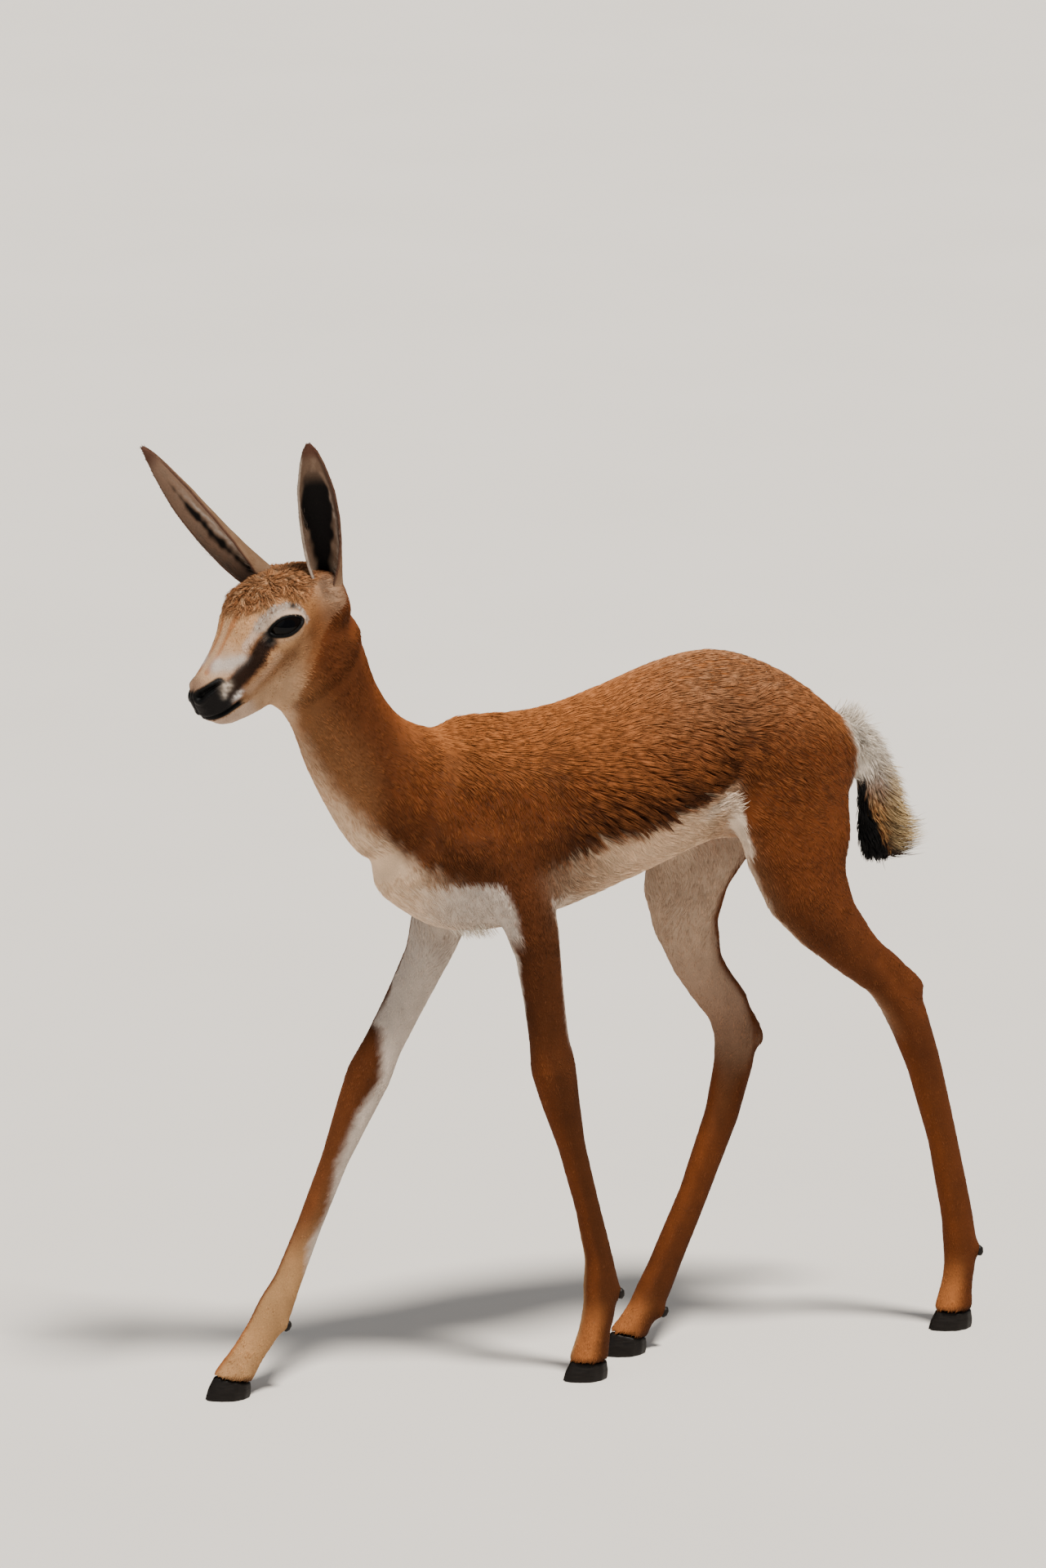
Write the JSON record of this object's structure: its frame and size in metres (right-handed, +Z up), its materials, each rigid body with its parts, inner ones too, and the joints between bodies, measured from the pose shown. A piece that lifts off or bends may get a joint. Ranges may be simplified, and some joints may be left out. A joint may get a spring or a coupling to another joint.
{
  "type": "springbok lamb",
  "caption": "Life-size still model of a young hornless springbok walking with its head raised, long upright ears, slender legs, cloven hooves and a short hanging tail.",
  "frame": {"origin": "On the floor, under the middle of the lamb's box.", "axes": "+Z up, the nose points along -X, the animal's left side faces -Y."},
  "size_m": [0.6688, 0.1376, 0.7667],
  "materials": {
    "coat": "short cinnamon-brown hair, cream below",
    "leg": "short brown hair, pale on the inner side",
    "ear": "thin grey-brown hair, dark inside",
    "tail": "long fair hair, dark at the tip",
    "horn": "black, slightly worn",
    "eye": "black, glossy and wet"
  },
  "bodies": {
    "root": {"left_arm": "coat", "left_thigh": "coat", "right_arm": "coat", "right_thigh": "coat", "head": "coat", "neck": "coat", "trunk": "coat", "left_ear": "ear", "left_eye": "eye", "left_forearm": "leg", "left_fore_cannon": "leg", "left_fore_pastern": "leg", "left_fore_hoof_left": "horn", "left_fore_dewclaw_left": "horn", "left_fore_hoof_right": "horn", "left_fore_dewclaw_right": "horn", "left_gaskin": "leg", "left_hind_cannon": "leg", "left_hind_pastern": "leg", "left_hind_hoof_left": "horn", "left_hind_dewclaw_left": "horn", "left_hind_hoof_right": "horn", "left_hind_dewclaw_right": "horn", "right_ear": "ear", "right_eye": "eye", "right_forearm": "leg", "right_fore_cannon": "leg", "right_fore_pastern": "leg", "right_fore_hoof_left": "horn", "right_fore_dewclaw_left": "horn", "right_fore_hoof_right": "horn", "right_fore_dewclaw_right": "horn", "right_gaskin": "leg", "right_hind_cannon": "leg", "right_hind_pastern": "leg", "right_hind_hoof_left": "horn", "right_hind_dewclaw_left": "horn", "right_hind_hoof_right": "horn", "right_hind_dewclaw_right": "horn", "tail": "tail"}
  },
  "joints": []
}
